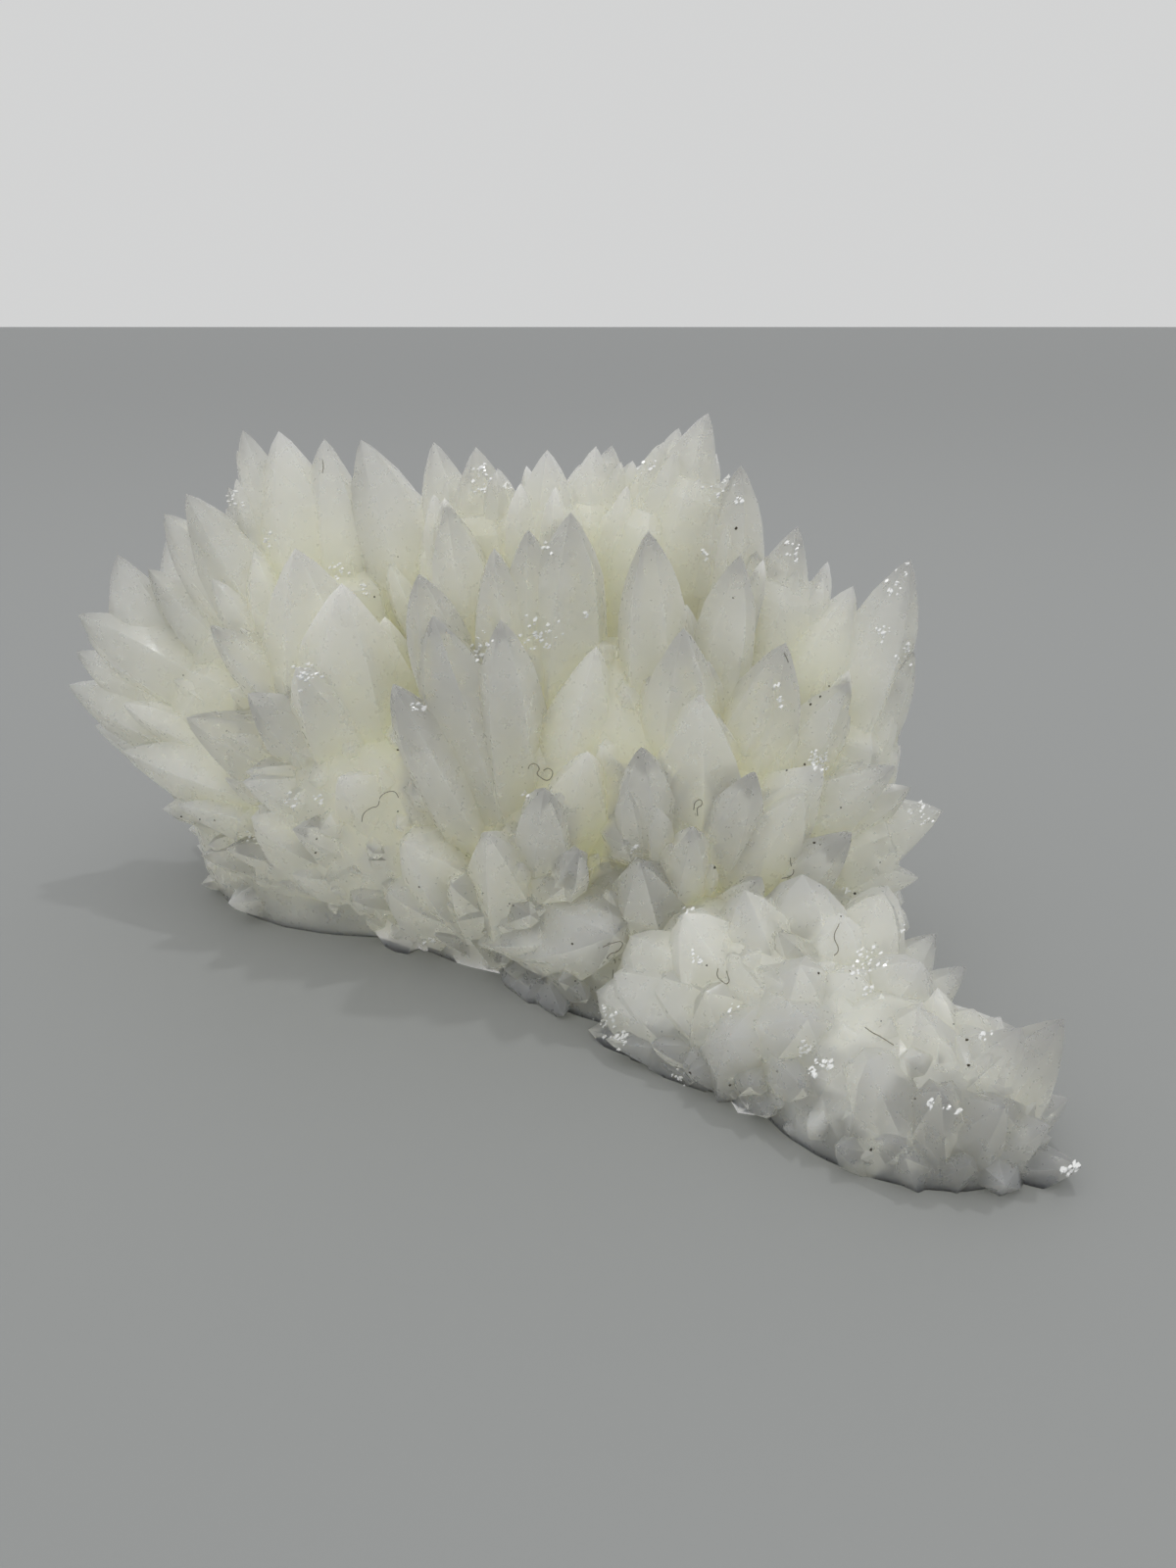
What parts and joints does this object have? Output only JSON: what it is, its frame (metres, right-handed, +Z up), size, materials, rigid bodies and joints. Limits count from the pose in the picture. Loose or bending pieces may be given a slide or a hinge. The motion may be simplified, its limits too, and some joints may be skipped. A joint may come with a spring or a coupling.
{
  "type": "aragonite sputnik cluster",
  "caption": "Lopsided spray of grown-together white dog-tooth crystals with a low ridge running forward, cut flat underneath to rest.",
  "frame": {"origin": "centre of the overall box, on the surface it rests on", "axes": "+Z up, +X along its length from the dome to the ridge's side, -Y towards the viewer and the ridge's end"},
  "size_m": [0.126, 0.1004, 0.07],
  "materials": {
    "milky_crystal": "milky translucent crystal, clearer and greyer at the tips, cream in the recesses"
  },
  "bodies": {
    "root": {"crystal_cluster": "milky_crystal"}
  },
  "joints": []
}
